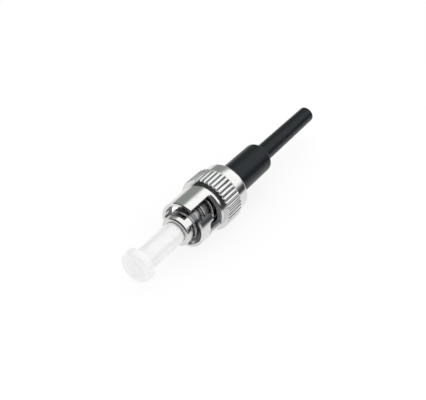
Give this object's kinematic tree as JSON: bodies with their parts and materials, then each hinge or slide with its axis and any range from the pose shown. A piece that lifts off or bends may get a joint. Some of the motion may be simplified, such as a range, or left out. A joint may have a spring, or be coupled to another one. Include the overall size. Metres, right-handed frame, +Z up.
{
  "type": "st fiber connector",
  "caption": "Bayonet-coupling fibre-optic connector for a buffered fibre, with a sprung slotted coupling nut, ceramic ferrule, black boot and a pull-off dust cap.",
  "frame": {"origin": "on the connector's axis, in the plane of the coupling nut's front rim", "axes": "+Y along the axis towards the cable end, -Y towards the mating end with the dust cap; +Z up, the connector lies on its side on the nut's knurl"},
  "size_m": [0.0098, 0.0497, 0.0098],
  "materials": {
    "nickel_plated_nut": "bright nickel plate",
    "nickel_plated_body": "bright nickel plate",
    "milky_polyethylene": "translucent, satin",
    "zirconia": "polished",
    "spring_steel": "drawn wire",
    "washer_steel": "satin",
    "ring_steel": "satin",
    "white_fluoropolymer": "satin",
    "black_soft_pvc": "satin"
  },
  "bodies": {
    "connector": {"connector_body": "nickel_plated_body", "ferrule": "zirconia", "guide_tube": "white_fluoropolymer", "retaining_ring": "ring_steel", "boot": "black_soft_pvc", "spring": "spring_steel"},
    "nut_carrier": {"thrust_washer": "washer_steel"},
    "nut": {"coupling_nut": "nickel_plated_nut"},
    "cap": {"dust_cap": "milky_polyethylene"}
  },
  "joints": [
    {"name": "cap_pull", "type": "slide", "parent": "connector", "child": "cap", "axis": [0, -1, 0], "range_m": [0, 0.0095]},
    {"name": "nut_slide", "type": "slide", "parent": "connector", "child": "nut_carrier", "axis": [0, -1, 0], "range_m": [0, 0.0025], "stiffness_N_per_m": 400, "springref_m": -0.0005, "deforming": ["spring"]},
    {"name": "nut_turn", "type": "hinge", "parent": "nut_carrier", "child": "nut", "pos_m": [0, 0, 0], "axis": [0, 1, 0], "continuous": true}
  ]
}
